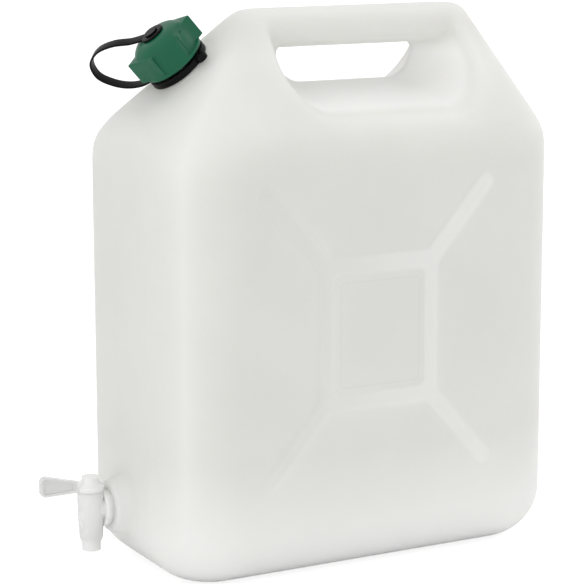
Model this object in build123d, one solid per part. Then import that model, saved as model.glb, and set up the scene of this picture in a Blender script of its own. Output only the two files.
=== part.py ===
from build123d import *
import math
import os

os.makedirs("parts", exist_ok=True)

# A blow-moulded water can. X runs along its broad faces, +Y to the back, +Z up.
# The origin is the middle of the base. All lengths are millimetres, angles degrees.

# Outside of the can
tank_width = 347
tank_depth = 186
tank_height = 430
shoulder_drop = 90
corner_radius = 54
foot_radius = 42
shoulder_radius = 41
wall = 2.2

# Flat crown at the top, further to the right than the base
crown_left = -72.5
crown_right = 124.8
crown_depth = 38
crown_corner = 12
crown_radius = 21

# Hand grip: the opening below the bar at the parting line, then two steps of its flare to a face
grip_left = -36
grip_right = 76
grip_corner = 24
grip_brow = 22
grip_brow_flare = 24
grip_brow_fall = 8
grip_reach = 110
grip_flare = 28
grip_fall = 26
grip_pinch_radius = 8
grip_brow_radius = 8
grip_rim_radius = 5
hand_gap = 28
bar_thickness = 29
bar_half_depth = 25.5
bar_corner_radius = 12

# Cross of stiffening grooves in each broad face
groove_depth = 2.4
frame_width = 103
frame_height = 120
frame_middle = 189
frame_side = 11.5
frame_end = 14
frame_corner = 6
arm_width = 13
arm_reach = 97
arm_height = 224

# Neck on the left slope
neck_along = 71
neck_radius = 18.6
neck_bore = 15.8
neck_height = 26
neck_foot_radius = 25
neck_foot_height = 1.6
neck_root = 5
neck_bead = 1.2
neck_bead_height = 1.4

# Strap: collar, band and eye in one moulding
collar_radius = 24.8
collar_height = 5.2
collar_gap = 0.4
strap_gap = 0.3
band_width = 8.4
band_thickness = 1.5
band_azimuth = 130
band_reach = 61.2
band_run = 11
band_dip = 3.2
band_lean = 11
band_knee = 9.5
band_low = 22
band_high = 33
band_shoulder = 8.5
band_crest = 30
band_arch = 6.4
band_bend = 11
eye_radius = 9.4
eye_thickness = 1.6
lug_radius = 4.8
lug_reach = 25.6
lug_azimuth = -66

# Screw cap
cap_rim_radius = 24.9
cap_rim_height = 2.6
skirt_radius = 23.4
skirt_top_radius = 22.2
skirt_height = 19.8
cap_gap = 1.1
dome_rise = 6.4
dome_bulge = 1.6
hub_radius = 10.2
cap_wall = 2.2
ear_reach = 29.8
ear_angle = -17
ear_root_angle = -66
ear_ramp_angle = 42.5
ear_hollow = 2.2
ear_lift = 1.4
ear_edge_radius = 0.8
gasket_thickness = 1.6
gasket_gap = 0.2
gasket_width = 5.4

# Snap rivet that holds the strap's eye on the cap
rivet_head_radius = 5.4
rivet_head_height = 1.1
rivet_shank_radius = 2.4
rivet_snap_radius = 3.1
rivet_snap_height = 1.8
rivet_gap = 0.08

# Boss for the tap, low in the end wall
tap_height = 54
boss_length = 14.5
boss_root_radius = 23.4
boss_face_radius = 19.8
boss_face_wall = 4
boss_edge_radius = 1.6

# Tap body
tail_radius = 11
tail_gap = 0.3
tail_reach = 20
washer_thickness = 1.8
washer_margin = 0.6
flange_thickness = 3.4
stem_radius = 9.2
water_way = 5.2
barrel_offset = 28
barrel_radius = 10.1
barrel_foot_radius = 8.9
barrel_taper_rise = 18
barrel_bottom = 31.5
barrel_top = 68.4

# Tap key: a hollow plug with the spout below and a lever on top
plug_radius = 7.4
plug_gap = 0.06
key_gap = 0.3
bead_radius = 8.1
bead_height = 1.6
spout_radius = 7.1
spout_bottom = 22
spout_bore = 4.7
port_radius = 4
port_margin = 1.2
head_radius = 10.5
head_height = 11.4
head_top_radius = 6.6
lever_reach = 41
lever_thickness = 4.6
lever_root = 10
lever_root_height = 8.1
lever_tip_height = 16.4
lever_droop = 0.4
lever_corner = 4
lever_rim = 2
lever_pocket = 0.9

# Heights that follow from the top of the can
shoulder_height = tank_height - shoulder_drop
bar_underside = tank_height - bar_thickness
grip_bottom = bar_underside - hand_gap

# The neck's own frame: X up the slope, Y to the back, Z out along the neck
slope = math.atan2(tank_height - shoulder_height, tank_width / 2 + crown_left)
neck_x = neck_along * math.cos(slope) - tank_width / 2
neck_z = neck_along * math.sin(slope) + shoulder_height
neck_frame = Plane(
    origin=(neck_x, 0, neck_z),
    x_dir=(math.cos(slope), 0, math.sin(slope)),
    z_dir=(-math.sin(slope), 0, math.cos(slope)),
)

# Heights along the neck, from the slope outwards
collar_bottom = neck_foot_height + strap_gap
collar_top = collar_bottom + collar_height
neck_bead_bottom = collar_top + strap_gap
cap_bottom = neck_bead_bottom + neck_bead_height + strap_gap
gasket_bottom = neck_height + gasket_gap
cap_ceiling = gasket_bottom + gasket_thickness
skirt_top = cap_bottom + skirt_height
hub_top = skirt_top + dome_rise
hub_underside = hub_top - cap_wall
eye_bottom = hub_top + strap_gap
eye_top = eye_bottom + eye_thickness

# Places of the tap along X, from the end wall outwards
end_wall = -tank_width / 2
boss_face = end_wall - boss_length
flange_seat = boss_face - washer_thickness
barrel_x = end_wall - barrel_offset
plug_bore = plug_radius + plug_gap
flange_radius = barrel_top - tap_height
washer_radius = flange_radius - washer_margin
head_bottom = barrel_top + key_gap
head_top = head_bottom + head_height
bead_top = barrel_bottom - key_gap
bead_bottom = bead_top - bead_height


# Edges that lie at one height
def level_edges(solid, height):
    flat = solid.edges().filter_by(lambda e: e.bounding_box().size.Z < 0.05)
    return flat.filter_by(lambda e: abs(e.center().Z - height) < 0.05)


# A full turn of a profile given as radius and height, round the Z axis
def turned(*points):
    profile = Plane.XZ * make_face(Polyline(*points, close=True))
    return revolve(profile, Axis.Z)


# A solid whose Z axis is turned to point out of the end wall, at the tap's height
def out_of_end_wall(solid):
    return Pos(0, 0, tap_height) * Rot(0, -90, 0) * solid


# How far the end of a slope moves sideways when its faces move in
def inset_shift(inset, rise, run):
    return inset * math.tan(math.atan2(rise, run) / 2)


# The can's outer form without its grip, or that form moved in by a wall
def envelope(inset):
    rise = tank_height - shoulder_height
    side_run = (tank_depth - crown_depth) / 2
    side = inset_shift(inset, rise, side_run)
    left = crown_left + inset_shift(inset, rise, tank_width / 2 + crown_left)
    right = crown_right - inset_shift(inset, rise, tank_width / 2 - crown_right)
    shoulder = shoulder_height - inset_shift(inset, side_run, rise)
    top = tank_height - inset
    plan = RectangleRounded(tank_width - 2 * inset, tank_depth - 2 * inset, corner_radius - inset)
    crown = RectangleRounded(right - left, crown_depth - 2 * side, crown_corner - side)
    crown = Pos((left + right) / 2, 0, top) * crown
    walls = extrude(Plane.XY.offset(inset) * plan, shoulder - inset)
    roof = loft([Plane.XY.offset(shoulder) * plan, crown], ruled=True)
    form = walls + roof
    form = fillet(level_edges(form, inset), foot_radius - inset)
    form = fillet(level_edges(form, shoulder), shoulder_radius - inset)
    return fillet(level_edges(form, top), crown_radius - inset)


# Outline of the grip, open at the top, on a plane across Y
def grip_outline(grow, fall, y):
    width = grip_right - grip_left + 2 * grow
    bottom = grip_bottom - fall
    height = tank_height + grip_corner - bottom
    outline = Rectangle(width, height)
    outline = fillet(outline.vertices().sort_by(Axis.Y)[:2], grip_corner + grow)
    middle = ((grip_left + grip_right) / 2, y, bottom + height / 2)
    return Plane(origin=middle, x_dir=(1, 0, 0), z_dir=(0, -1, 0)) * outline


# Edges of the hand's space at a distance from the parting line, up both walls and across the floor
def ring_edges(space, distance):
    def on_ring(edge):
        box = edge.bounding_box()
        across = box.size.Y < 0.05 and abs(abs(box.center().Y) - distance) < 0.05
        return across and box.min.Z < tank_height

    return space.edges().filter_by(on_ring)


# The hand's space below and beside the bar, which flares to both faces
def grip_space(inset):
    thickening = inset * math.hypot(grip_brow_flare, grip_brow) / grip_brow
    pinch = grip_outline(thickening, inset, 0)
    halves = []
    for side in (-1, 1):
        brow = grip_outline(thickening + grip_brow_flare, inset + grip_brow_fall, side * grip_brow)
        mouth = grip_outline(inset + grip_flare, inset + grip_fall, side * grip_reach)
        halves.append(loft([pinch, brow, mouth], ruled=True))
    space = halves[0] + halves[1]
    space = fillet(ring_edges(space, grip_brow), grip_brow_radius + inset)
    space = fillet(ring_edges(space, 0), grip_pinch_radius - inset)
    bar_height = 2 * bar_thickness
    bar = Box(tank_width, 2 * (bar_half_depth - inset), bar_height)
    bar = Pos(0, 0, bar_underside + inset + bar_height / 2) * bar
    underside = bar.edges().filter_by(Axis.X).sort_by(Axis.Z)[:2]
    return space - fillet(underside, bar_corner_radius - inset)


# The rims where the grip's walls and floor meet the slopes, outside the bar
def rim_edges(form):
    def on_slope(edge):
        box = edge.bounding_box()
        beside = grip_left - 1.1 * grip_flare < box.min.X and box.max.X < grip_right + 1.1 * grip_flare
        below_crown = box.min.Z > grip_bottom - grip_fall and box.max.Z < tank_height - wall
        outside_bar = min(abs(box.min.Y), abs(box.max.Y)) >= bar_half_depth - 0.5
        level_bar_edge = box.size.Z < 1 and box.min.Z > bar_underside - 1
        upright = box.size.Y < 1 and box.size.Z > 1
        runs_on = edge.length > grip_rim_radius and not upright
        return beside and below_crown and outside_bar and runs_on and not level_bar_edge

    return form.edges().filter_by(on_slope)


# The can as a solid body, before it is hollowed
def outer_form():
    form = envelope(0) - grip_space(0)
    return fillet(rim_edges(form), grip_rim_radius)


# Plan of the groove cross on a broad face: a frame with an arm from each corner
def groove_plan(grow):
    inner_width = frame_width - 2 * frame_side
    inner_height = frame_height - 2 * frame_end
    frame = RectangleRounded(frame_width + 2 * grow, frame_height + 2 * grow, frame_corner + grow)
    frame -= RectangleRounded(inner_width - 2 * grow, inner_height - 2 * grow, frame_corner - grow)
    start_x = (frame_width - frame_side) / 2
    start_y = (frame_height - frame_end) / 2
    run = arm_reach - start_x
    climb = arm_height / 2 - start_y
    length = math.hypot(run, climb)
    lean = math.degrees(math.atan2(climb, run))
    for side in (-1, 1):
        for end in (-1, 1):
            arm = SlotCenterToCenter(length, arm_width + 2 * grow)
            middle = Pos(side * (start_x + run / 2), end * (start_y + climb / 2))
            frame += middle * Rot(0, 0, side * end * lean) * arm
    return frame


# The grooves of both faces, as solids to take out of the can or, thickened, out of its hollow
def grooves(inset):
    cuts = []
    for side in (-1, 1):
        place = Plane(origin=(0, side * tank_depth / 2, frame_middle), x_dir=(1, 0, 0), z_dir=(0, -side, 0))
        cuts.append(extrude(place * groove_plan(inset), groove_depth + inset))
    return cuts


# The neck's outside, from its root in the slope to its lip
def neck_outside():
    bead = neck_radius + neck_bead
    bead_top_height = neck_bead_bottom + neck_bead_height
    return turned(
        (0, -neck_root),
        (neck_foot_radius, -neck_root),
        (neck_foot_radius, neck_foot_height),
        (neck_radius, neck_foot_height),
        (neck_radius, neck_bead_bottom),
        (bead, neck_bead_bottom),
        (bead, bead_top_height),
        (neck_radius, bead_top_height),
        (neck_radius, neck_height),
        (0, neck_height),
    )


# Cone of the tap's boss, which starts inside the wall so that it meets the rounded foot
def boss_cone(inset, length):
    root = boss_root_radius - inset
    widening = (boss_root_radius - boss_face_radius) / boss_length
    start = tank_width / 2 - 3 * wall
    end = tank_width / 2 + length
    profile = (
        (0, start),
        (root + 3 * wall * widening, start),
        (root - length * widening, end),
        (0, end),
    )
    return out_of_end_wall(turned(*profile))


# The hollow of the can: its form moved in by the wall, with the ways out through neck and boss
def hollow():
    space = envelope(wall) - grip_space(wall)
    for ridge in grooves(wall):
        space -= ridge
    bore = Pos(0, 0, -neck_root) * Cylinder(
        neck_bore, neck_root + neck_height, align=(Align.CENTER, Align.CENTER, Align.MIN)
    )
    space += neck_frame.location * bore
    space += boss_cone(wall, boss_length - boss_face_wall)
    return space + tap_cylinder(tail_radius + tail_gap, end_wall, boss_face)


# A cylinder along the tap's axis between two places on X
def tap_cylinder(radius, inner, outer):
    rod = Cylinder(radius, inner - outer, align=(Align.CENTER, Align.CENTER, Align.MIN))
    return out_of_end_wall(Pos(0, 0, -inner) * rod)


# The can: one moulding with its grip, grooves, neck and tap boss
def tank():
    can = outer_form()
    for groove in grooves(0):
        can -= groove
    can += neck_frame.location * neck_outside()
    boss = boss_cone(0, boss_length)
    face_edge = boss.edges().filter_by(GeomType.CIRCLE).sort_by(Axis.X)[0]
    can += fillet(face_edge, boss_edge_radius)
    return can - hollow()


# Plan of the two ears: each has a scooped face and a straight ramp back to the skirt
def ear_plan():
    root_radius = skirt_top_radius - ear_edge_radius
    lines = []
    for turn in (0, 180):
        root = polar_point(root_radius, ear_root_angle + turn)
        tip = polar_point(ear_reach, ear_angle + turn)
        ramp = polar_point(root_radius, ear_ramp_angle + turn)
        middle = polar_point(root_radius, (ear_ramp_angle + ear_root_angle + 180) / 2 + turn)
        next_root = polar_point(root_radius, ear_root_angle + turn + 180)
        lines.append(SagittaArc(root, tip, -ear_hollow))
        lines.append(Line(tip, ramp))
        lines.append(ThreePointArc(ramp, middle, next_root))
    return make_face(lines)


# A point at a radius and an angle round the neck
def polar_point(radius, angle):
    return (radius * math.cos(math.radians(angle)), radius * math.sin(math.radians(angle)))


# Screw cap with two ears, a domed crown and a hole for the rivet
def cap():
    rim_top = cap_bottom + cap_rim_height
    side = Polyline(
        (hub_radius, hub_top),
        (0, hub_top),
        (0, cap_bottom),
        (cap_rim_radius, cap_bottom),
        (cap_rim_radius, rim_top),
        (skirt_radius, rim_top),
        (skirt_top_radius, skirt_top),
    )
    dome = SagittaArc((skirt_top_radius, skirt_top), (hub_radius, hub_top), dome_bulge)
    body = revolve(Plane.XZ * make_face([side, dome]), Axis.Z)
    ear_bottom = cap_bottom + ear_lift
    ears = extrude(Pos(0, 0, ear_bottom) * ear_plan(), skirt_top - ear_bottom)
    upright = ears.edges().filter_by(Axis.Z)
    tips = upright.filter_by(lambda e: math.hypot(e.center().X, e.center().Y) > skirt_radius)
    ears = fillet(tips, ear_edge_radius)
    body += fillet(level_edges(ears, skirt_top), ear_edge_radius / 2)
    body -= turned(
        (0, cap_bottom),
        (neck_radius + cap_gap, cap_bottom),
        (neck_radius + cap_gap, cap_ceiling),
        (neck_bore - gasket_gap, cap_ceiling),
        (hub_radius - cap_wall / 2, hub_underside),
        (0, hub_underside),
    )
    hole = Pos(0, 0, hub_top) * Cylinder(rivet_shank_radius + rivet_gap, 3 * cap_wall)
    return neck_frame.location * (body - hole)


# Sealing ring under the cap's ceiling
def cap_gasket():
    outer = neck_radius + cap_gap - gasket_gap
    ring = turned(
        (outer - gasket_width, gasket_bottom),
        (outer, gasket_bottom),
        (outer, cap_ceiling),
        (outer - gasket_width, cap_ceiling),
    )
    return neck_frame.location * ring


# Strap: a collar round the neck with a pull lug, and a looped band that ends in an eye
def cap_strap():
    collar = Pos(0, 0, collar_bottom) * Cylinder(
        collar_radius, collar_height, align=(Align.CENTER, Align.CENTER, Align.MIN)
    )
    lug = Pos(*polar_point(lug_reach, lug_azimuth), collar_bottom) * Cylinder(
        lug_radius, collar_height, align=(Align.CENTER, Align.CENTER, Align.MIN)
    )
    collar = collar + lug
    collar = fillet(level_edges(collar, collar_top), ear_edge_radius)
    eye = Pos(0, 0, eye_bottom) * Cylinder(
        eye_radius, eye_thickness, align=(Align.CENTER, Align.CENTER, Align.MIN)
    )
    route = FilletPolyline(*band_route(), radius=band_bend)
    across = polar_point(1, band_azimuth)
    band_plane = Plane(origin=(0, 0, 0), x_dir=(*across, 0), z_dir=(across[1], -across[0], 0))
    band = extrude(band_plane * trace(route, line_width=band_thickness), band_width / 2, both=True)
    strap = collar + band + eye
    strap -= Cylinder(neck_radius + collar_gap, 2 * hub_underside)
    strap -= Pos(0, 0, eye_top) * Cylinder(rivet_shank_radius + collar_gap, 4 * eye_thickness)
    return neck_frame.location * strap


# Points of the band, as distance from the neck's axis and height along it
def band_route():
    arch = eye_top + band_arch
    return (
        (collar_radius - band_thickness, collar_bottom + collar_height / 2),
        (collar_radius + band_run, band_dip),
        (band_reach - band_lean, band_knee),
        (band_reach, band_low),
        (band_reach, band_high),
        (band_reach - band_shoulder, arch),
        (band_crest, arch),
        (eye_radius - band_thickness, eye_top - band_thickness / 2),
    )


# Snap rivet through the strap's eye and the cap's hub
def strap_rivet():
    head_bottom_height = eye_top + strap_gap
    snap_top = hub_underside - strap_gap
    snap_bottom = snap_top - rivet_snap_height
    rivet = turned(
        (0, snap_bottom),
        (rivet_shank_radius, snap_bottom),
        (rivet_snap_radius, snap_top),
        (rivet_shank_radius, snap_top),
        (rivet_shank_radius, head_bottom_height),
        (rivet_head_radius, head_bottom_height),
        (rivet_head_radius, head_bottom_height + rivet_head_height),
        (0, head_bottom_height + rivet_head_height),
    )
    return neck_frame.location * rivet


# Washer between the tap's flange and the boss
def tap_gasket():
    ring = tap_cylinder(washer_radius, boss_face, flange_seat)
    return ring - tap_cylinder(tail_radius + tail_gap, end_wall, barrel_x)


# Tap body: a tail through the boss, a flange and an upright barrel
def tap_body():
    body = tap_cylinder(tail_radius, flange_seat + tail_reach, flange_seat)
    flange = tap_cylinder(flange_radius, flange_seat, flange_seat - flange_thickness)
    flange_edge = flange.edges().filter_by(GeomType.CIRCLE).sort_by(Axis.X)[0]
    body += fillet(flange_edge, ear_edge_radius)
    body += tap_cylinder(stem_radius, flange_seat, barrel_x)
    body += Pos(barrel_x, 0, 0) * turned(
        (0, barrel_bottom),
        (barrel_foot_radius, barrel_bottom),
        (barrel_radius, barrel_bottom + barrel_taper_rise),
        (barrel_radius, barrel_top),
        (0, barrel_top),
    )
    body -= tap_cylinder(water_way, flange_seat + tail_reach, barrel_x)
    return body - Pos(barrel_x, 0, tap_height) * Cylinder(plug_bore, tank_height / 4)


# Tap key: a hollow plug with a side port, the spout below it and the lever on top
def tap_key():
    bore_top = tap_height + port_radius + port_margin
    side = Polyline(
        (head_radius, head_bottom + head_height / 3),
        (head_radius, head_bottom),
        (plug_radius, head_bottom),
        (plug_radius, bead_top),
        (bead_radius, bead_top),
        (bead_radius, bead_bottom),
        (spout_radius, bead_bottom),
        (spout_radius, spout_bottom),
        (spout_bore, spout_bottom),
        (spout_bore, bore_top),
        (0, bore_top + spout_bore / 2),
        (0, head_top),
        (head_top_radius, head_top),
    )
    dome = SagittaArc((head_top_radius, head_top), (head_radius, head_bottom + head_height / 3), -dome_bulge)
    key = revolve(Plane.XZ * make_face([side, dome]), Axis.Z)
    port = Pos(0, plug_radius / 2 + port_radius, tap_height) * Rot(90, 0, 0)
    key -= port * Cylinder(port_radius, plug_radius + 2 * port_radius)
    return Pos(barrel_x, 0, 0) * (key + lever())


# Lever of the key: a flat paddle with a shallow pocket in each face
def lever():
    bottom = head_bottom + key_gap
    outline = make_face(
        Polyline(
            (0, bottom),
            (-lever_reach, bottom - lever_droop),
            (-lever_reach, bottom + lever_tip_height),
            (-lever_root, bottom + lever_root_height),
            (0, bottom + lever_root_height),
            close=True,
        )
    )
    outline = fillet(outline.vertices().sort_by(Axis.X)[:2], lever_corner)
    blade = extrude(Plane.XZ * outline, lever_thickness / 2, both=True)
    pocket = offset(outline, -lever_rim) & Pos(-lever_reach / 2 - head_radius, bottom) * Rectangle(
        lever_reach - head_radius + lever_rim, 4 * lever_tip_height
    )
    for side in (-1, 1):
        place = Plane(origin=(0, side * lever_thickness / 2, 0), x_dir=(1, 0, 0), z_dir=(0, -1, 0))
        blade -= extrude(place * pocket, lever_pocket, both=True)
    return blade


pieces = {
    "tank": tank,
    "cap": cap,
    "cap_gasket": cap_gasket,
    "cap_strap": cap_strap,
    "strap_rivet": strap_rivet,
    "tap_body": tap_body,
    "tap_key": tap_key,
    "tap_gasket": tap_gasket,
}

for name, make in pieces.items():
    export_step(make(), f"parts/{name}.step")
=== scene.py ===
import math

import bmesh
import bpy
from mathutils import Matrix, Vector


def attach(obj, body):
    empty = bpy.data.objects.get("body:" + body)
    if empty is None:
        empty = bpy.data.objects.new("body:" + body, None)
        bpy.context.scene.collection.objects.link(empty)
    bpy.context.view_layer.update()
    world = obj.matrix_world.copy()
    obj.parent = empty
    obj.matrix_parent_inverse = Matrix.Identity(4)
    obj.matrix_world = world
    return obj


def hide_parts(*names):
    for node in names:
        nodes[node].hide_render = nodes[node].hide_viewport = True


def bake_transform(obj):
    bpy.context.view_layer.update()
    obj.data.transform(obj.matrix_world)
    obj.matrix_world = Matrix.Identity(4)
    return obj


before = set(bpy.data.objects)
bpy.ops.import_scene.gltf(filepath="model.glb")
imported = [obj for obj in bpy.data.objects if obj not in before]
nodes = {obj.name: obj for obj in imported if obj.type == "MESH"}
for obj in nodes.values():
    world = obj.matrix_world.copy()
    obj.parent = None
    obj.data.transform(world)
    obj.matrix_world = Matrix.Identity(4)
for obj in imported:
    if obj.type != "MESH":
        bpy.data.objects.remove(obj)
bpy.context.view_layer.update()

print("frame loaded:", ", ".join(sorted(nodes)))


# Node trees written as sums: a Value is one output socket, and arithmetic on it adds Math nodes

class Value:
    def __init__(self, tree, socket):
        self.tree = tree
        self.socket = socket

    def __add__(self, other):
        return self.tree.math("ADD", self, other)

    def __radd__(self, other):
        return self.tree.math("ADD", other, self)

    def __sub__(self, other):
        return self.tree.math("SUBTRACT", self, other)

    def __rsub__(self, other):
        return self.tree.math("SUBTRACT", other, self)

    def __mul__(self, other):
        return self.tree.math("MULTIPLY", self, other)

    def __rmul__(self, other):
        return self.tree.math("MULTIPLY", other, self)

    def __truediv__(self, other):
        return self.tree.math("DIVIDE", self, other)

    def __rtruediv__(self, other):
        return self.tree.math("DIVIDE", other, self)

    def __neg__(self):
        return self.tree.math("MULTIPLY", self, -1.0)


class Tree:
    def __init__(self, nodeTree):
        self.nodeTree = nodeTree

    # One node: its type, its settings, and the values or links of its sockets
    def add(self, kind, settings=None, sockets=None, out=0):
        node = self.nodeTree.nodes.new(kind)
        for name, setting in (settings or {}).items():
            setattr(node, name, setting)
        for name, given in (sockets or {}).items():
            if isinstance(given, Value):
                self.nodeTree.links.new(given.socket, node.inputs[name])
            else:
                node.inputs[name].default_value = given
        return Value(self, node.outputs[out]) if node.outputs else node

    def math(self, operation, *given):
        return self.add("ShaderNodeMath", {"operation": operation}, dict(enumerate(given)))

    def parts(self, vector):
        split = self.add("ShaderNodeSeparateXYZ", None, {0: vector})
        return [Value(self, socket) for socket in split.socket.node.outputs]

    def smoothMax(self, a, b, reach):
        return self.math("SMOOTH_MAX", a, b, reach)

    def smoothMin(self, a, b, reach):
        return self.math("SMOOTH_MIN", a, b, reach)

    # Where two faces meet in a round edge of the given radius
    def roundMax(self, a, b, radius):
        across = self.math("MAXIMUM", a + radius, 0.0)
        along = self.math("MAXIMUM", b + radius, 0.0)
        inside = self.math("MINIMUM", self.math("MAXIMUM", a, b), -radius)
        return inside + self.math("SQRT", across * across + along * along)

    # 0 below the first edge, 1 above the second, with a soft step between
    def softStep(self, value, low, high):
        return self.add(
            "ShaderNodeMapRange", {"interpolation_type": "SMOOTHSTEP"},
            {"Value": value, "From Min": low, "From Max": high},
        )


# A geometry tree with one named input for each size in a dictionary
def geometryTree(name, sizes):
    nodeTree = bpy.data.node_groups.new(name, "GeometryNodeTree")
    nodeTree.interface.new_socket("Geometry", in_out="INPUT", socket_type="NodeSocketGeometry")
    nodeTree.interface.new_socket("Geometry", in_out="OUTPUT", socket_type="NodeSocketGeometry")
    for key, size in sizes.items():
        kind = "NodeSocketInt" if isinstance(size, int) else "NodeSocketFloat"
        nodeTree.interface.new_socket(key, in_out="INPUT", socket_type=kind)
    tree = Tree(nodeTree)
    start = nodeTree.nodes.new("NodeGroupInput")
    given = {socket.name: Value(tree, socket) for socket in start.outputs if socket.name}
    return tree, given


# Ends a tree: instances made real, smooth faces, and the finish
def finishTree(tree, geometry, material):
    real = tree.add("GeometryNodeRealizeInstances", None, {"Geometry": geometry})
    shaded = tree.add("GeometryNodeSetShadeSmooth", None, {"Geometry": real, "Shade Smooth": True})
    finished = tree.add("GeometryNodeSetMaterial", None, {"Geometry": shaded, "Material": material})
    end = tree.nodeTree.nodes.new("NodeGroupOutput")
    tree.nodeTree.links.new(finished.socket, end.inputs["Geometry"])


# Runs a tree on an object and keeps the plain mesh that it gives
def bakeTree(name, tree, sizes):
    holder = bpy.data.objects.new(name + "Holder", bpy.data.meshes.new(name + "Seed"))
    bpy.context.scene.collection.objects.link(holder)
    modifier = holder.modifiers.new("build", "NODES")
    modifier.node_group = tree.nodeTree
    for item in tree.nodeTree.interface.items_tree:
        if item.in_out == "INPUT" and item.name in sizes:
            modifier[item.identifier] = sizes[item.name]
    graph = bpy.context.evaluated_depsgraph_get()
    mesh = bpy.data.meshes.new_from_object(holder.evaluated_get(graph), depsgraph=graph)
    bpy.data.objects.remove(holder)
    mesh.name = name
    made = bpy.data.objects.new(name, mesh)
    bpy.context.scene.collection.objects.link(made)
    return made


# Finishes

def plastic(name, settings):
    material = bpy.data.materials.new(name)
    material.use_nodes = True
    tree = Tree(material.node_tree)
    shader = material.node_tree.nodes["Principled BSDF"]
    for key, number in settings.items():
        shader.inputs[key].default_value = number
    place = tree.add("ShaderNodeTexCoord", None, None, "Object")
    return material, tree, shader, place


def noise(tree, place, scale, detail=2.0, roughness=0.5, seed=0.0):
    shifted = tree.add(
        "ShaderNodeMapping", None, {"Vector": place, "Location": (seed, seed * 0.7, seed * 1.3)}
    )
    return tree.add(
        "ShaderNodeTexNoise", None,
        {"Vector": shifted, "Scale": scale, "Detail": detail, "Roughness": roughness}, "Fac",
    )


def mixColour(tree, factor, first, second):
    return tree.add(
        "ShaderNodeMix", {"data_type": "RGBA"}, {"Factor": factor, 6: first, 7: second}, 2
    )


def link(tree, value, shader, name):
    tree.nodeTree.links.new(value.socket, shader.inputs[name])


def bump(tree, height, strength, distance):
    return tree.add("ShaderNodeBump", None, {"Strength": strength, "Distance": distance, "Height": height})


def attribute(tree, name):
    return tree.add("ShaderNodeAttribute", {"attribute_name": name}, None, "Fac")


canFinish = {
    "pale": (0.795, 0.795, 0.765, 1.0),
    "thin": (0.77, 0.772, 0.742, 1.0),
    # Paler colour for the thinner wall in the grooves, and painted light on the rounded corners and in the
    # grip pocket
    "thinWallAndPaintedLight": (0.90, 0.90, 0.885, 1.0),
    # Painted bounce light from the floor on the lowest part
    "paintedBounce": (0.955, 0.955, 0.935, 1.0),
    # Painted shade over the handle bar at the top
    "crown": (0.735, 0.735, 0.71, 1.0),
    # Darker colour along the panel's crease: painted shade
    "line": (0.66, 0.66, 0.63, 1.0),
    "subsurface": 0.8,
    "subsurfaceReach": 0.04,
    "specular": 0.4,
    "roughness": 0.42,
    "roughnessSpread": 0.10,
    "cloudScale": 9.0,
    "cloudLow": 0.35,
    "cloudHigh": 0.70,
    "grainScale": 900.0,
    "grainHeight": 0.05,
    "waveScale": 28.0,
    "waveHeight": 0.6,
    "bumpStrength": 0.3,
    "bumpDistance": 0.0004,
    "partingHalfWidth": 0.0005,
    "partingHeight": 0.6,
    "faceDepth": 0.006,
    # Grooves lighter, partly for their thinner wall and partly as painted light that grows from left to
    # right
    "grooveLeft": 0.16,
    "grooveRight": 0.48,
    "grooveFrom": -0.07,
    "grooveTo": 0.05,
    # Height over which the painted bounce light fades
    "lowReach": 0.10,
    "crownBelow": 0.012,
    "crownAbove": 0.016,
    "panelHalfWidth": 0.0345,
    "panelHalfHeight": 0.0405,
    "panelCorner": 0.003,
    "lineHalfWidth": 0.0007,
    "lineShadeShare": 0.22,
    "lineDepth": 0.4,
}


# A fine line that frames the bare panel between the grooves
def panelLine(tree, x, z):
    across = tree.math("ABSOLUTE", x) - canFinish["panelHalfWidth"]
    along = tree.math("ABSOLUTE", z - canSizes["Frame Middle"]) - canFinish["panelHalfHeight"]
    fromLine = tree.math("ABSOLUTE", tree.roundMax(across, along, canFinish["panelCorner"]))
    half = canFinish["lineHalfWidth"]
    return 1.0 - tree.softStep(fromLine, half * 0.3, half * 1.5)


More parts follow.
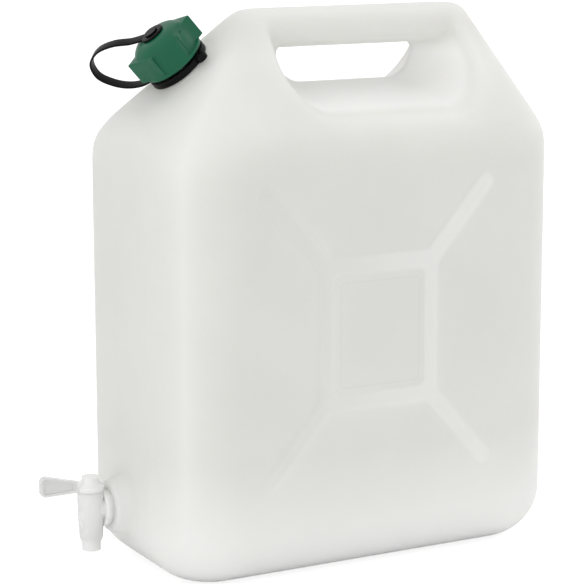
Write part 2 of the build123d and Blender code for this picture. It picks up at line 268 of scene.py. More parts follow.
# Natural polyethylene: clouded and a little waxy, lighter in the grooves where its wall is thin; painted
# light on the grooves, rounded corners, grip pocket and bottom, and painted shade on the handle bar and
# along the panel's crease
def canPlastic():
    look = canFinish
    material, tree, shader, place = plastic(
        "canPlastic",
        {"Subsurface Weight": look["subsurface"], "Subsurface Scale": look["subsurfaceReach"],
         "Subsurface Radius": (1.0, 0.97, 0.90), "IOR": 1.5, "Specular IOR Level": look["specular"]},
    )
    x, y, z = tree.parts(place)
    cloud = noise(tree, place, look["cloudScale"], 3.0, 0.55, 2.0)
    grain = noise(tree, place, look["grainScale"], 2.0, 0.6)
    wave = noise(tree, place, look["waveScale"], 1.0, 0.4, 5.0)
    absY = tree.math("ABSOLUTE", y)
    faceFrom = canSizes["Half Depth"] - look["faceDepth"]
    face = tree.softStep(absY, faceFrom, faceFrom + look["faceDepth"] / 2)
    # Grooves lighter, partly for their thinner wall and partly as painted light that is stronger towards the
    # right
    groove = grooveDepth(tree, canSizes, x, z) / canSizes["Groove Depth"] * face
    towardsRight = tree.softStep(x, look["grooveFrom"], look["grooveTo"])
    groove = groove * (look["grooveLeft"] + look["grooveRight"] * towardsRight)
    # Painted highlight on the rounded corners and painted fill light in the grip pocket
    thin = tree.softStep(attribute(tree, "paintedLight"), 0.0, 1.0)
    # Painted bounce light from the floor, lighter towards the bottom
    low = tree.math("MAXIMUM", 1.0 - z / look["lowReach"], 0.0)
    # Painted shade over the handle bar
    bar = canSizes["Bar Underside"]
    crown = tree.softStep(z, bar - look["crownBelow"], bar + look["crownAbove"])
    # The panel's crease: a real bump, darkened by painted shade
    line = panelLine(tree, x, z) * face

    clouds = tree.softStep(cloud, look["cloudLow"], look["cloudHigh"])
    colour = mixColour(tree, clouds, look["pale"], look["thin"])
    # Paler colour: thinner wall in the grooves, painted light on corners and in the pocket
    colour = mixColour(tree, tree.math("MAXIMUM", groove, thin), colour, look["thinWallAndPaintedLight"])
    colour = mixColour(tree, low, colour, look["paintedBounce"])
    colour = mixColour(tree, crown, colour, look["crown"])
    colour = mixColour(tree, line * look["lineShadeShare"], colour, look["line"])
    link(tree, colour, shader, "Base Color")
    link(tree, look["roughness"] + (cloud - 0.5) * look["roughnessSpread"], shader, "Roughness")

    half = look["partingHalfWidth"]
    parting = 1.0 - tree.softStep(absY, half * 0.4, half * 1.6)
    height = grain * look["grainHeight"] + wave * look["waveHeight"]
    height = height + parting * look["partingHeight"] - line * look["lineDepth"]
    link(tree, bump(tree, height, look["bumpStrength"], look["bumpDistance"]), shader, "Normal")
    finishes["can"] = material
    return material


mouldedFinishes = {
    "capPlastic": {
        "pale": (0.003, 0.122, 0.058, 1.0), "dark": (0.002, 0.100, 0.047, 1.0),
        "roughness": 0.38, "specular": 0.32, "subsurface": 0.0, "grainScale": 1400.0,
    },
    "strapPlastic": {
        "pale": (0.003, 0.003, 0.003, 1.0), "dark": (0.005, 0.005, 0.005, 1.0),
        "roughness": 0.36, "specular": 0.10, "subsurface": 0.0, "grainScale": 1800.0,
    },
    "sealRubber": {
        "pale": (0.80, 0.80, 0.78, 1.0), "dark": (0.74, 0.74, 0.72, 1.0),
        "roughness": 0.50, "specular": 0.30, "subsurface": 0.0, "grainScale": 2200.0,
    },
    "tapPlastic": {
        "pale": (0.90, 0.90, 0.885, 1.0), "dark": (0.87, 0.87, 0.855, 1.0),
        "roughness": 0.26, "specular": 0.50, "subsurface": 0.6, "grainScale": 1400.0,
    },
    "keyPlastic": {
        "pale": (0.93, 0.93, 0.92, 1.0), "dark": (0.90, 0.90, 0.89, 1.0),
        "roughness": 0.24, "specular": 0.50, "subsurface": 0.6, "grainScale": 1400.0,
    },
}
mouldedDetail = {
    "subsurfaceReach": 0.004,
    "cloudScale": 60.0,
    "roughnessSpread": 0.12,
    "bumpStrength": 0.25,
    "bumpDistance": 0.00008,
}
# The key's thin lever is greyer than its head
leverTint = {
    "colour": (0.74, 0.745, 0.74, 1.0),
    "from": -0.215,
    "to": -0.211,
}


def tintLever(tree, place, colour):
    x, y, z = tree.parts(place)
    lever = 1.0 - tree.softStep(x, leverTint["from"], leverTint["to"])
    return mixColour(tree, lever, colour, leverTint["colour"])


# Moulded plastic with faint clouds and grain, and the tint of one part of it
def mouldedPlastic(name, tint=None):
    look = mouldedFinishes[name]
    detail = mouldedDetail
    material, tree, shader, place = plastic(
        name,
        {"IOR": 1.5, "Specular IOR Level": look["specular"], "Subsurface Weight": look["subsurface"],
         "Subsurface Scale": detail["subsurfaceReach"], "Subsurface Radius": (1.0, 1.0, 0.95)},
    )
    cloud = noise(tree, place, detail["cloudScale"], 2.0, 0.5, 3.0)
    grain = noise(tree, place, look["grainScale"], 2.0, 0.55)
    colour = mixColour(tree, cloud, look["pale"], look["dark"])
    if tint:
        colour = tint(tree, place, colour)
    link(tree, colour, shader, "Base Color")
    link(tree, look["roughness"] + (cloud - 0.5) * detail["roughnessSpread"], shader, "Roughness")
    link(tree, bump(tree, grain, detail["bumpStrength"], detail["bumpDistance"]), shader, "Normal")
    return material


finishes = {
    "cap": mouldedPlastic("capPlastic"),
    "strap": mouldedPlastic("strapPlastic"),
    "seal": mouldedPlastic("sealRubber"),
    "tap": mouldedPlastic("tapPlastic"),
    "key": mouldedPlastic("keyPlastic", tintLever),
}
nodeFinish = {
    "cap_gasket": "seal",
    "strap_rivet": "strap",
    "tap_body": "tap",
    "tap_key": "key",
    "tap_gasket": "seal",
}
for nodeName, finishName in nodeFinish.items():
    nodes[nodeName].data.materials.clear()
    nodes[nodeName].data.materials.append(finishes[finishName])

print("finishes made:", len(finishes))


# The can, as one form whose faces meet in round edges

canSizes = {
    "Half Width": 0.1735,
    "Half Depth": 0.093,
    "Height": 0.430,
    "Shoulder": 0.341,
    "Right Shoulder": 0.3392,
    "Corner Radius": 0.054,
    "Crown Corner Radius": 0.0165,
    "Foot Radius": 0.042,
    "Crown Left": -0.0725,
    "Crown Right": 0.1243,
    "Crown Half Depth": 0.019,
    "Shoulder Radius": 0.041,
    "Crown Blend": 0.0105,
    "Grip Left": -0.0398,
    "Grip Right": 0.0800,
    "Grip Left Flare": 0.0225,
    "Grip Right Flare": 0.0290,
    "Grip Flare Reach": 0.0107,
    "Grip Floor": 0.373,
    "Grip Slope": 0.2045,
    "Grip Brow Drop": 0.0035,
    "Grip Corner": 0.022,
    "Grip Corner Growth": 0.014,
    # Painted highlight on the rounded corners and painted fill light in the grip pocket
    "Corner Highlight": 0.45,
    "Pocket Near": 0.002,
    "Pocket Far": 0.014,
    "Pocket Inside": 0.018,
    "Rim Blend": 0.011,
    "Bar Half Depth": 0.0255,
    "Bar Underside": 0.401,
    "Bar Corner": 0.012,
    "Bar Blend": 0.008,
    "Groove Depth": 0.0020,
    "Groove Edge": 0.0048,
    "Groove Blend": 0.003,
    "Frame Half Width": 0.0515,
    "Frame Half Height": 0.060,
    "Frame Middle": 0.189,
    "Frame Side": 0.0115,
    "Frame End": 0.014,
    "Frame Corner": 0.006,
    "Arm Half Width": 0.0065,
    "Arm Reach": 0.0945,
    "Arm Half Height": 0.109,
    "Neck Along": 0.071,
    "Neck Foot Radius": 0.025,
    "Neck Foot Height": 0.0016,
    "Neck Foot Edge": 0.0012,
    "Neck Foot Depth": 0.012,
    "Neck Foot Blend": 0.004,
    "Boss Height": 0.054,
    "Boss Length": 0.0145,
    "Boss Root": 0.0234,
    "Boss Face": 0.0198,
    "Boss Depth": 0.02,
    "Boss Edge": 0.0016,
    "Boss Blend": 0.008,
}
voxel = 0.0026  # finest step of the can's mesh
margin = 0.006  # clear space round the can inside the volume


# Reach of a smooth corner that stands for a round of this radius, where a face turns by this angle
def blendReach(radius, run, rise):
    turn = math.atan2(run, rise)
    return 6.0 * radius * (1.0 - math.cos(turn / 2))


shoulderRise = canSizes["Height"] - canSizes["Shoulder"]
for blendName, run in (
    ("Left Blend", canSizes["Half Width"] + canSizes["Crown Left"]),
    ("Right Blend", canSizes["Half Width"] - canSizes["Crown Right"]),
    ("Side Blend", canSizes["Half Depth"] - canSizes["Crown Half Depth"]),
):
    canSizes[blendName] = blendReach(canSizes["Shoulder Radius"], run, shoulderRise)


# Distance to a slope that starts at a corner of the profile and climbs inwards
def slopeDistance(tree, across, z, cornerAcross, cornerZ, rise, run):
    length = tree.math("SQRT", rise * rise + run * run)
    return ((across - cornerAcross) * rise + (z - cornerZ) * run) / length


def canField(tree, size, place):
    x, y, z = tree.parts(place)
    absY = tree.math("ABSOLUTE", y)
    walls, corner = wallField(tree, size, x, absY, z)
    body = tree.smoothMax(walls, z - size["Height"], size["Crown Blend"])
    # Depth inside the form, for the painted fill light in the grip pocket
    inside = tree.softStep(-body, 0.0, size["Pocket Inside"])
    body = tree.roundMax(body, -z, size["Foot Radius"])
    body = body + grooveDepth(tree, size, x, z)
    grip, hole = gripField(tree, size, x, absY, z)
    body = tree.smoothMax(body, -grip, size["Rim Blend"])
    # Painted fill light in the grip pocket and painted highlight on the rounded corners, kept on the mesh
    # for the finish
    fromHole = tree.math("ABSOLUTE", hole)
    pocket = (1.0 - tree.softStep(fromHole, size["Pocket Near"], size["Pocket Far"])) * inside
    thin = tree.math("MAXIMUM", corner * corner * size["Corner Highlight"], pocket)
    body = tree.smoothMin(body, neckFootField(tree, size, x, y, z), size["Neck Foot Blend"])
    return tree.smoothMin(body, bossField(tree, size, x, y, z), size["Boss Blend"]), thin


# Upright walls and the slopes of the shoulders, with corners that tighten towards the crown
def wallField(tree, size, x, absY, z):
    halfWidth, halfDepth, height = (size[k] for k in ("Half Width", "Half Depth", "Height"))
    rise = height - size["Shoulder"]
    leftRun = halfWidth + size["Crown Left"]
    rightRun = halfWidth - size["Crown Right"]
    sideRun = halfDepth - size["Crown Half Depth"]
    rightRise = height - size["Right Shoulder"]
    leftSlope = slopeDistance(tree, -x, z, halfWidth, size["Shoulder"], rise, leftRun)
    rightSlope = slopeDistance(tree, x, z, halfWidth, size["Right Shoulder"], rightRise, rightRun)
    sideSlope = slopeDistance(tree, absY, z, halfDepth, size["Shoulder"], rise, sideRun)
    left = tree.smoothMax(-x - halfWidth, leftSlope, size["Left Blend"])
    right = tree.smoothMax(x - halfWidth, rightSlope, size["Right Blend"])
    side = tree.smoothMax(absY - halfDepth, sideSlope, size["Side Blend"])
    ends = tree.math("MAXIMUM", left, right)
    corner = tree.add(
        "ShaderNodeMapRange", None,
        {"Value": z, "From Min": size["Shoulder"], "From Max": height,
         "To Min": size["Corner Radius"], "To Max": size["Crown Corner Radius"]},
    )
    return tree.roundMax(ends, side, corner), nearness(tree, ends, side, corner)


# 1 along the middle of a round edge between two faces, and 0 on the faces themselves
def nearness(tree, a, b, reach):
    return tree.math("MAXIMUM", 1.0 - tree.math("ABSOLUTE", a - b) / reach, 0.0)


# The hand's space, tightest at the parting line, with the bar left standing in it
def gripField(tree, size, x, absY, z):
    squared = absY * absY
    spread = squared / (squared + size["Grip Flare Reach"] * size["Grip Flare Reach"])
    leftWall = size["Grip Left"] - spread * size["Grip Left Flare"] - x
    rightWall = x - size["Grip Right"] - spread * size["Grip Right Flare"]
    bottom = size["Grip Floor"] - absY * size["Grip Slope"] - spread * size["Grip Brow Drop"]
    corner = size["Grip Corner"] + spread * size["Grip Corner Growth"]
    hole = tree.roundMax(tree.math("MAXIMUM", leftWall, rightWall), bottom - z, corner)
    bar = tree.roundMax(absY - size["Bar Half Depth"], size["Bar Underside"] - z, size["Bar Corner"])
    return tree.smoothMax(hole, -bar, size["Bar Blend"]), hole


# Low round foot under the neck
def neckFootField(tree, size, x, y, z):
    rise = size["Height"] - size["Shoulder"]
    run = size["Half Width"] + size["Crown Left"]
    length = tree.math("SQRT", rise * rise + run * run)
    fromX = x + size["Half Width"]
    fromZ = z - size["Shoulder"]
    along = (fromX * run + fromZ * rise) / length - size["Neck Along"]
    out = (fromZ * run - fromX * rise) / length
    aside = tree.math("SQRT", along * along + y * y)
    side = aside - size["Neck Foot Radius"]
    foot = tree.roundMax(side, out - size["Neck Foot Height"], size["Neck Foot Edge"])
    return tree.math("MAXIMUM", foot, -out - size["Neck Foot Depth"])


# Cone of the tap's boss on the end wall
def bossField(tree, size, x, y, z):
    beyond = -x - size["Half Width"]
    taper = (size["Boss Root"] - size["Boss Face"]) / size["Boss Length"]
    fromZ = z - size["Boss Height"]
    side = tree.math("SQRT", y * y + fromZ * fromZ) - size["Boss Root"] + beyond * taper
    boss = tree.roundMax(side, beyond - size["Boss Length"], size["Boss Edge"])
    return tree.math("MAXIMUM", boss, -beyond - size["Boss Depth"])


# The frame and its four arms as one outline, sunk into both broad faces
def grooveDepth(tree, size, x, z):
    absX = tree.math("ABSOLUTE", x)
    absZ = tree.math("ABSOLUTE", z - size["Frame Middle"])
    outerX = size["Frame Half Width"]
    outerZ = size["Frame Half Height"]
    outer = tree.roundMax(absX - outerX, absZ - outerZ, size["Frame Corner"])
    innerX = outerX - size["Frame Side"]
    innerZ = outerZ - size["Frame End"]
    inner = tree.roundMax(absX - innerX, absZ - innerZ, size["Frame Corner"])
    ring = tree.math("MAXIMUM", outer, -inner)
    startX = outerX - size["Frame Side"] / 2
    startZ = outerZ - size["Frame End"] / 2
    runX = size["Arm Reach"] - startX
    runZ = size["Arm Half Height"] - startZ
    fromX = absX - startX
    fromZ = absZ - startZ
    share = (fromX * runX + fromZ * runZ) / (runX * runX + runZ * runZ)
    share = tree.math("MINIMUM", tree.math("MAXIMUM", share, 0.0), 1.0)
    offX = fromX - share * runX
    offZ = fromZ - share * runZ
    arm = tree.math("SQRT", offX * offX + offZ * offZ) - size["Arm Half Width"]
    outline = tree.smoothMin(ring, arm, size["Groove Blend"])
    edge = size["Groove Edge"]
    return tree.softStep(-outline, edge * -0.5, edge * 0.5) * size["Groove Depth"]


# Meshes a field inside a box, in steps of one size
def meshField(tree, field, low, high, step, outside):
    counts = [round((b - a) / step) for a, b in zip(low, high)]
    cube = tree.add(
        "GeometryNodeVolumeCube", None,
        {"Density": -field, "Background": -outside, "Min": low, "Max": high,
         "Resolution X": counts[0], "Resolution Y": counts[1], "Resolution Z": counts[2]},
    )
    return tree.add(
        "GeometryNodeVolumeToMesh", {"resolution_mode": "GRID"}, {"Volume": cube, "Threshold": 0.0},
    )


# Keeps a value on the mesh's points for its finish to read
def markPoints(tree, mesh, name, value):
    return tree.add(
        "GeometryNodeStoreNamedAttribute", {"data_type": "FLOAT", "domain": "POINT"},
        {"Geometry": mesh, "Name": name, "Value": value},
    )


def makeCan():
    tree, size = geometryTree("canBody", canSizes)
    place = tree.add("GeometryNodeInputPosition")
    field, thin = canField(tree, size, place)
    space = Vector((margin, margin, margin))
    low = Vector((-canSizes["Half Width"] - canSizes["Boss Length"], -canSizes["Half Depth"], 0.0)) - space
    high = Vector((canSizes["Half Width"], canSizes["Half Depth"], canSizes["Height"])) + space
    mesh = meshField(tree, field, low, high, voxel, margin)
    # The mask of painted corner highlight and pocket fill light goes with the mesh
    finishTree(tree, markPoints(tree, mesh, "paintedLight", thin), canPlastic())
    return bakeTree("can", tree, canSizes)


can = makeCan()
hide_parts("tank")
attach(can, "tank")
print("can:", len(can.data.polygons), "faces")


# The neck's own frame: up the slope, to the back, and out along the neck

slopeRise = 0.090  # of the left slope that carries the neck
slopeRun = canSizes["Half Width"] + canSizes["Crown Left"]
slopeAngle = math.atan2(slopeRise, slopeRun)
neckUp = Vector((math.cos(slopeAngle), 0.0, math.sin(slopeAngle)))
neckOut = Vector((-math.sin(slopeAngle), 0.0, math.cos(slopeAngle)))
slopeFoot = Vector((-canSizes["Half Width"], 0.0, canSizes["Height"] - slopeRise))
neckFoot = slopeFoot + neckUp * canSizes["Neck Along"]
neckTurn = Matrix((neckUp, (0.0, 1.0, 0.0), neckOut)).transposed()
neckFrame = Matrix.Translation(neckFoot) @ neckTurn.to_4x4()


# A closed ring turned round the neck's axis, from points of radius and height
def turnedRing(shape, points, steps, at=(0.0, 0.0)):
    rings = []
    for step in range(steps):
        angle = 2.0 * math.pi * step / steps
        rings.append([
            shape.verts.new((at[0] + radius * math.cos(angle), at[1] + radius * math.sin(angle), height))
            for radius, height in points
        ])
    for step in range(steps):
        here, there = rings[step], rings[(step + 1) % steps]
        for index in range(len(points)):
            following = (index + 1) % len(points)
            shape.faces.new((here[index], there[index], there[following], here[following]))


# Rectangle of the ring's section, from inner to outer radius, with rounded edges
def roundedSection(inner, outer, low, high, edge, steps=3):
    corners = (
        (outer - edge, low + edge, -90), (outer - edge, high - edge, 0),
        (inner + edge, high - edge, 90), (inner + edge, low + edge, 180),
    )
    points = []
    for radius, height, start in corners:
        for step in range(steps + 1):
            angle = math.radians(start + 90.0 * step / steps)
            points.append((radius + edge * math.cos(angle), height + edge * math.sin(angle)))
    return points


# Turns a shape into an object in the neck's frame, with its faces pointing out
def finishShape(name, shape, material):
    bmesh.ops.recalc_face_normals(shape, faces=shape.faces)
    for face in shape.faces:
        face.smooth = True
    data = bpy.data.meshes.new(name)
    shape.transform(neckFrame)
    shape.to_mesh(data)
    shape.free()
    data.materials.append(material)
    made = bpy.data.objects.new(name, data)
    bpy.context.scene.collection.objects.link(made)
    return made


neckSizes = {
    "radius": 0.0186,
    "bore": 0.0158,
    "foot": -0.002,
    "height": 0.026,
    "lipEdge": 0.0008,
    "beadEdge": 0.0003,
    "beadRadius": 0.0198,
    "beadLow": 0.0074,
    "beadHigh": 0.0088,
    "steps": 128,
}
threadSizes = {
    "Thread Turns": 3.0,
    "Thread Radius": 0.0186,
    "Thread Height": 0.0125,
    "Thread Foot": 0.0105,
    "Ridge": 0.0008,
    "Steps Per Turn": 64,
}


def makeNeck():
    shape = bmesh.new()
    size = neckSizes
    wall = roundedSection(size["bore"], size["radius"], size["foot"], size["height"], size["lipEdge"])
    turnedRing(shape, wall, size["steps"])
    beadInner = size["radius"] - size["lipEdge"]
    bead = roundedSection(beadInner, size["beadRadius"], size["beadLow"], size["beadHigh"], size["beadEdge"])
    turnedRing(shape, bead, size["steps"])
    return finishShape("neck", shape, finishes["can"])


ridgeSides = 10


# The neck's spiral thread, swept along a helix
def makeThread():
    tree, size = geometryTree("neckThread", threadSizes)
    spiral = tree.add(
        "GeometryNodeCurveSpiral", None,
        {"Resolution": size["Steps Per Turn"], "Rotations": size["Thread Turns"],
         "Start Radius": size["Thread Radius"], "End Radius": size["Thread Radius"],
         "Height": size["Thread Height"]},
    )
    profile = tree.add(
        "GeometryNodeCurvePrimitiveCircle", None, {"Resolution": ridgeSides, "Radius": size["Ridge"]},
    )
    ridge = tree.add(
        "GeometryNodeCurveToMesh", None, {"Curve": spiral, "Profile Curve": profile, "Fill Caps": True},
    )
    foot = tree.add("ShaderNodeCombineXYZ", None, {"Z": size["Thread Foot"]})
    raised = tree.add("GeometryNodeTransform", None, {"Geometry": ridge, "Translation": foot})
    finishTree(tree, raised, finishes["can"])
    thread = bakeTree("neckThread", tree, threadSizes)
    thread.data.transform(neckFrame)
    return thread


for piece in (makeNeck(), makeThread()):
    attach(piece, "tank")
print("neck and thread made")


# The cap: a skirt and a dome with two ratchet ears, each with a scoop beside it

capSizes = {
    "Bottom": 0.0091,
    "Rim Radius": 0.0249,
    "Rim Top": 0.0117,
    "Skirt Radius": 0.0240,
    "Skirt Taper": 0.0698,
    "Dome Ring": 0.00978,
    "Dome Centre": 0.02006,
    "Dome Radius": 0.01525,
    "Dome Edge": 0.0012,
    "Ear Reach": 0.0298,
    "Ear Bottom": 0.0105,
    "Ear Top": 0.0292,
    "Ear Edge": 0.0007,
    "Ramp Distance": 0.0233,
    "Root Distance": 0.021,
    "Scoop Distance": 0.0500,
    "Scoop Radius": 0.0300,
    "Scoop Growth": 0.0014,
    "Scoop Depth": 0.0032,
    "Soft Edge": 0.0011,
    "Bore": 0.0197,
    "Ceiling": 0.0277,
    "Cone Radius": 0.0156,
    "Cone Slope": 1.204,
    "Hub Underside": 0.0331,
    "Rivet Hole": 0.0027,
}
capAngles = {
    "ear": -17.0,
    "ramp": 21.6,
    "scoop": -50.3,
    "step": 135.0,
    "root": -90.0,
}
capVoxel = 0.00045
capMargin = 0.001
nearZero = 0.000001
coneShare = 0.64  # makes the inside cone a distance


# Signed distance along a direction in the plan, less an offset
def planDistance(u, v, angle, offset):
    return u * math.cos(math.radians(angle)) + v * math.sin(math.radians(angle)) - offset


def capField(tree, size, place):
    u, v, h = tree.parts(place)
    r = tree.math("SQRT", u * u + v * v)
    side = r - size["Skirt Radius"] + (h - size["Bottom"]) * size["Skirt Taper"]
    beyondRing = tree.math("MAXIMUM", r - size["Dome Ring"], 0.0)
    above = tree.math("MAXIMUM", h - size["Dome Centre"], 0.0)
    dome = tree.math("SQRT", beyondRing * beyondRing + above * above) - size["Dome Radius"]

    facing = tree.math("SIGN", planDistance(u, v, capAngles["ear"], 0.0) + nearZero)
    a = u * facing
    b = v * facing
    ramp = planDistance(a, b, capAngles["ramp"], size["Ramp Distance"])
    scoopAngle = math.radians(capAngles["scoop"])
    fromA = a - size["Scoop Distance"] * math.cos(scoopAngle)
    fromB = b - size["Scoop Distance"] * math.sin(scoopAngle)
    fromScoop = tree.math("SQRT", fromA * fromA + fromB * fromB) - size["Scoop Radius"]
    step = planDistance(a, b, capAngles["step"], 0.0)
    root = planDistance(a, b, capAngles["root"], size["Root Distance"])
    plan = tree.roundMax(ramp, -fromScoop, size["Ear Edge"])
    plan = tree.roundMax(plan, step, size["Ear Edge"])
    plan = tree.math("MAXIMUM", plan, root)
    ear = tree.roundMax(plan, h - size["Ear Top"], size["Ear Edge"])
    ear = tree.math("MAXIMUM", ear, size["Ear Bottom"] - h)

    body = tree.roundMax(side, dome, size["Dome Edge"])
    recess = tree.math("MAXIMUM", fromScoop - size["Scoop Growth"], -dome - size["Scoop Depth"])
    body = tree.smoothMax(body, -recess, size["Soft Edge"] * 2)
    body = tree.smoothMin(body, ear, size["Soft Edge"])
    rim = tree.roundMax(r - size["Rim Radius"], h - size["Rim Top"], size["Ear Edge"])
    body = tree.smoothMin(body, rim, size["Soft Edge"] / 2)
    body = tree.roundMax(body, size["Bottom"] - h, size["Ear Edge"] / 2)

    bore = tree.math("MAXIMUM", r - size["Bore"], h - size["Ceiling"])
    cone = (r - size["Cone Radius"] + (h - size["Ceiling"]) * size["Cone Slope"]) * coneShare
    cone = tree.math("MAXIMUM", cone, h - size["Hub Underside"])
    cone = tree.math("MAXIMUM", cone, size["Ceiling"] - size["Ear Edge"] - h)
    hollow = tree.math("MINIMUM", bore, cone)
    hollow = tree.math("MINIMUM", hollow, r - size["Rivet Hole"])
    return tree.math("MAXIMUM", body, -hollow)


def makeCap():
    tree, size = geometryTree("screwCap", capSizes)
    place = tree.add("GeometryNodeInputPosition")
    reach = capSizes["Ear Reach"] + capMargin
    low = Vector((-reach, -reach, capSizes["Bottom"] - capMargin))
    high = Vector((reach, reach, capSizes["Dome Centre"] + capSizes["Dome Radius"] + capMargin))
    mesh = meshField(tree, capField(tree, size, place), low, high, capVoxel, capMargin)
    finishTree(tree, mesh, finishes["cap"])
    made = bakeTree("screwCap", tree, capSizes)
    made.data.transform(neckFrame)
    return made


screwCap = makeCap()
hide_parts("cap")
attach(screwCap, "cap")
print("cap:", len(screwCap.data.polygons), "faces")


# The strap: a collar with a pull lug, and a looped band that ends in an eye on the cap

strapSizes = {
    "collarInner": 0.0190,
    "collarOuter": 0.0248,
    "collarLow": 0.0019,
    "collarHigh": 0.0071,
    "edge": 0.0008,
    "lugRadius": 0.0048,
    "lugReach": 0.0256,
    "lugAzimuth": -66.0,
    "eyeRadius": 0.0094,
    "eyeHole": 0.0028,
    "eyeLow": 0.0356,
    "eyeHigh": 0.0372,
    "eyeEdge": 0.00064,
    "bandAzimuth": 130.0,
    "bandHalfWidth": 0.0043,
    "bandHalfThickness": 0.0008,
    "bandSteps": 12,
    "steps": 96,
}
# Route of the band, as distance from the neck's axis and height along it
strapRoute = (
    (0.0215, 0.0045), (0.0340, 0.0035), (0.0465, 0.0076), (0.0560, 0.0155), (0.0622, 0.0265),
    (0.0590, 0.0385), (0.0475, 0.0445), (0.0330, 0.0436), (0.0190, 0.0385), (0.0080, 0.0364),
)


# A smooth line through the points of a route
def smoothLine(points, steps):
    line = []
    count = len(points)
    for index in range(count - 1):
        before, start = Vector(points[max(index - 1, 0)]), Vector(points[index])
        end, after = Vector(points[index + 1]), Vector(points[min(index + 2, count - 1)])
        for step in range(steps):
            t = step / steps
            line.append(0.5 * (
                2.0 * start + (end - before) * t
                + (2.0 * before - 5.0 * start + 4.0 * end - after) * t * t
                + (3.0 * start - before - 3.0 * end + after) * t ** 3
            ))
    line.append(Vector(points[-1]))
    return line


def addBand(shape, size):
    line = smoothLine(strapRoute, size["bandSteps"])
    azimuth = math.radians(size["bandAzimuth"])
    outward = Vector((math.cos(azimuth), math.sin(azimuth), 0.0))
    across = Vector((-math.sin(azimuth), math.cos(azimuth), 0.0))
    wide, thin = size["bandHalfWidth"], size["bandHalfThickness"]
    section = roundedSection(-wide, wide, -thin, thin, thin * 0.9)
    rings = []
    for index, point in enumerate(line):
        tangent = (line[min(index + 1, len(line) - 1)] - line[max(index - 1, 0)]).normalized()
        centre = outward * point[0] + Vector((0.0, 0.0, point[1]))
        facing = outward * -tangent[1] + Vector((0.0, 0.0, tangent[0]))
        rings.append([shape.verts.new(centre + across * u + facing * v) for u, v in section])
    for here, there in zip(rings, rings[1:]):
        for index in range(len(section)):
            following = (index + 1) % len(section)
            shape.faces.new((here[index], here[following], there[following], there[index]))
    shape.faces.new(rings[0])
    shape.faces.new(list(reversed(rings[-1])))


def makeStrap():
    size = strapSizes
    shape = bmesh.new()
    edge = size["edge"]
    low, high = size["collarLow"], size["collarHigh"]
    collar = roundedSection(size["collarInner"], size["collarOuter"], low, high, edge)
    turnedRing(shape, collar, size["steps"])
    azimuth = math.radians(size["lugAzimuth"])
    lugPlace = (size["lugReach"] * math.cos(azimuth), size["lugReach"] * math.sin(azimuth))
    lug = roundedSection(edge, size["lugRadius"], low, high, edge)
    turnedRing(shape, lug, size["steps"] // 2, lugPlace)
    eye = roundedSection(
        size["eyeHole"], size["eyeRadius"], size["eyeLow"], size["eyeHigh"], size["eyeEdge"],
    )
    turnedRing(shape, eye, size["steps"])
    addBand(shape, size)
    return finishShape("strap", shape, finishes["strap"])


strap = makeStrap()
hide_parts("cap_strap")
tuple(neckFoot + neckOut * strapSizes["collarHigh"])
tuple(neckFoot + neckOut * strapSizes["eyeLow"])
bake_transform(strap)
print("strap made")


# The studio: a white floor, soft light all round, and the photograph's camera

studio = {
    "floorSize": 40.0,
    "white": (1.0, 1.0, 1.0, 1.0),
    "floorBounce": (0.95, 0.95, 0.95, 1.0),
    "floorGlowShare": 0.6,
    "floorGlow": 1.36,
    "skyBase": 0.05,
    "skyRise": 1.22,
    "skySide": 0.60,
    "skyDepth": 0.10,
    "lampLevel": 2.7,
    "lampAzimuth": -63.0,
    "lampTightness": 4.9,
    "target": (-0.0261, 0.0, 0.2067),
    "yaw": 28.36,
    "pitch": 10.95,
    "roll": -0.1,
    "distance": 1.7418,
    "focalPixels": 2206.0,
    "framePixels": 584.0,
    "sensorWidth": 36.0,
    "clipNear": 0.05,
    "clipFar": 100.0,
}


# White for the camera, with part of its own light so that the shadow stays faint
def makeFloor():
    data = bpy.data.meshes.new("floor")
    half = studio["floorSize"] / 2
    corners = [(-half, -half, 0), (half, -half, 0), (half, half, 0), (-half, half, 0)]
    data.from_pydata(corners, [], [(0, 1, 2, 3)])
    floor = bpy.data.objects.new("floor", data)
    bpy.context.scene.collection.objects.link(floor)
    material = bpy.data.materials.new("floorWhite")
    material.use_nodes = True
    tree = Tree(material.node_tree)
    material.node_tree.nodes.clear()
    seen = tree.add("ShaderNodeLightPath", None, None, "Is Camera Ray")
    colour = mixColour(tree, seen, studio["floorBounce"], studio["white"])
    lit = tree.add("ShaderNodeBsdfDiffuse", None, {"Color": colour})
    glow = tree.add("ShaderNodeEmission", None, {"Color": studio["white"], "Strength": studio["floorGlow"]})
    share = seen * studio["floorGlowShare"]
    surface = tree.add("ShaderNodeMixShader", None, {0: share, 1: lit, 2: glow})
    tree.add("ShaderNodeOutputMaterial", None, {"Surface": surface})
    data.materials.append(material)
    return floor


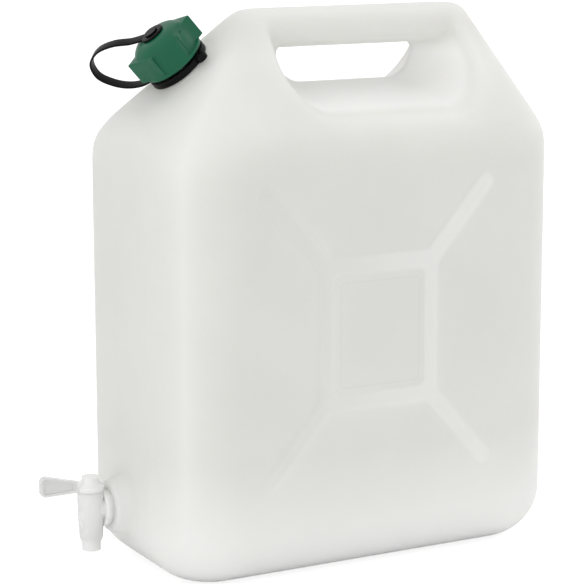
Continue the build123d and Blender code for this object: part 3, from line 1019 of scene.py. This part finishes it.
# Soft light from above and from both sides, and plain white where it is seen or mirrored
def makeSky():
    world = bpy.data.worlds.new("studioSky")
    bpy.context.scene.world = world
    world.use_nodes = True
    world.node_tree.nodes.clear()
    tree = Tree(world.node_tree)
    direction = tree.add("ShaderNodeTexCoord", None, None, "Generated")
    x, y, z = tree.parts(direction)
    azimuth = math.radians(studio["lampAzimuth"])
    towardsLamp = tree.math("MAXIMUM", x * math.sin(azimuth) - y * math.cos(azimuth), 0.0)
    lamp = tree.math("POWER", towardsLamp, studio["lampTightness"]) * studio["lampLevel"]
    sky = studio["skyBase"] + z * studio["skyRise"] + x * studio["skySide"] + y * studio["skyDepth"]
    level = tree.math("MAXIMUM", sky + lamp, 0.0)
    path = tree.add("ShaderNodeLightPath", None, None, "Is Camera Ray")
    glossy = Value(tree, path.socket.node.outputs["Is Glossy Ray"])
    through = Value(tree, path.socket.node.outputs["Is Transmission Ray"])
    seen = tree.math("MAXIMUM", tree.math("MAXIMUM", path, glossy), through)
    strength = level + (1.0 - level) * seen
    light = tree.add("ShaderNodeBackground", None, {"Color": studio["white"], "Strength": strength})
    tree.add("ShaderNodeOutputWorld", None, {"Surface": light})


def makeCamera():
    yaw = math.radians(studio["yaw"])
    pitch = math.radians(studio["pitch"])
    level = math.cos(pitch)
    looking = Vector((math.sin(yaw) * level, math.cos(yaw) * level, -math.sin(pitch)))
    data = bpy.data.cameras.new("studioCamera")
    data.sensor_fit = "HORIZONTAL"
    data.sensor_width = studio["sensorWidth"]
    data.lens = studio["focalPixels"] / studio["framePixels"] * data.sensor_width
    data.clip_start = studio["clipNear"]
    data.clip_end = studio["clipFar"]
    camera = bpy.data.objects.new("studioCamera", data)
    camera.location = Vector(studio["target"]) - looking * studio["distance"]
    roll = Matrix.Rotation(math.radians(studio["roll"]), 3, "Z")
    camera.rotation_euler = (looking.to_track_quat("-Z", "Y").to_matrix() @ roll).to_euler()
    bpy.context.scene.collection.objects.link(camera)
    bpy.context.scene.camera = camera


makeFloor()
makeSky()
makeCamera()
bpy.context.scene.view_settings.view_transform = "Standard"
print("studio ready")
